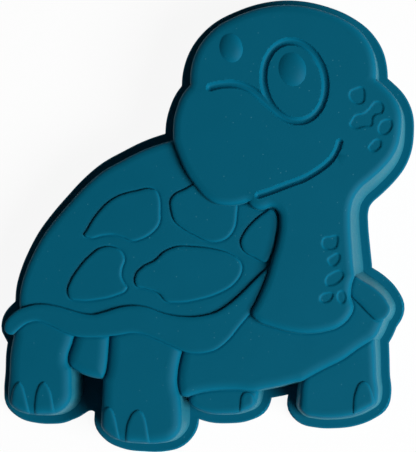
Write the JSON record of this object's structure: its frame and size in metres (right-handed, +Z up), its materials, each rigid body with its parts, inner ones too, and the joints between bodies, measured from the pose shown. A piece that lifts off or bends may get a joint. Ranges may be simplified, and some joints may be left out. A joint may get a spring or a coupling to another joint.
{
  "type": "sand mould",
  "caption": "Hollow silicone sand mould in the shape of a standing tortoise, open at its flat lip, which turns out a relief sand cake.",
  "frame": {"origin": "middle of the bounding box, on the plane of the lip's underside", "axes": "+Z up through the figure's top while the mould lies mouth down, +Y towards the crown of the head, +X towards the cheek"},
  "size_m": [0.128, 0.1398, 0.0269],
  "materials": {
    "silicone": "matte"
  },
  "bodies": {
    "root": {"rim_lip": "silicone", "side_wall": "silicone", "shell_panel": "silicone", "scute_front_upper": "silicone", "scute_middle_upper": "silicone", "scute_rear_upper": "silicone", "scute_middle_lower": "silicone", "scute_rear_lower": "silicone", "shell_brim": "silicone", "brim_collar": "silicone", "head": "silicone", "neck": "silicone", "pupil": "silicone", "far_pupil": "silicone", "belly_panel": "silicone", "belly_rear": "silicone", "rear_leg": "silicone", "front_leg": "silicone", "far_rear_leg": "silicone", "far_front_leg": "silicone", "rear_claw_outer": "silicone", "rear_claw_inner": "silicone", "front_claw_outer": "silicone", "front_claw_inner": "silicone", "far_rear_claw": "silicone", "far_front_claw": "silicone"}
  },
  "joints": []
}
